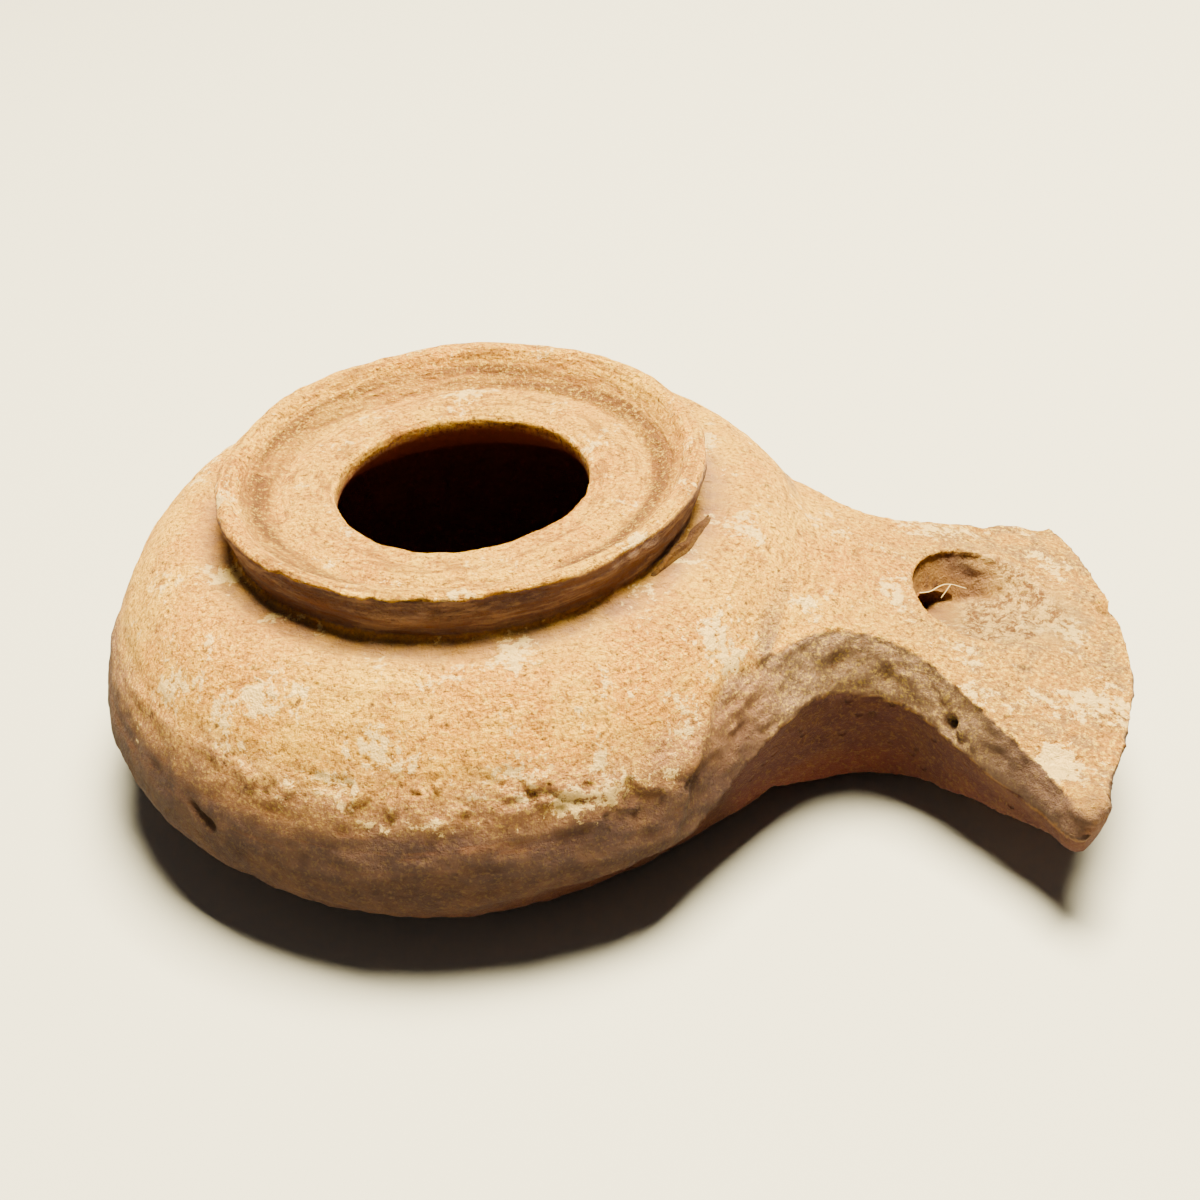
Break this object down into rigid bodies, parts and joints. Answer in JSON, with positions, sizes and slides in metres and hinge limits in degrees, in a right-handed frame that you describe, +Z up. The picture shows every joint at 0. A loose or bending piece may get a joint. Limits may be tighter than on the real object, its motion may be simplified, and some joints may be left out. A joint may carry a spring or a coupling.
{
  "type": "pottery oil lamp",
  "caption": "Wheel-made pottery oil lamp with a raised collar round a wide filling hole and a knife-pared, splayed nozzle with a wick hole; worn, chipped and empty.",
  "frame": {"origin": "centre of the flat underside, on the axis that the body was thrown about", "axes": "+X from the body's axis towards the nozzle's tip, +Z up through the filling hole, +Y to the left when looking along +X"},
  "size_m": [0.089, 0.066, 0.0282],
  "materials": {
    "fired_clay": "matte, unglazed, with pale lime crust"
  },
  "bodies": {
    "root": {"lamp_body": "fired_clay"}
  },
  "joints": []
}
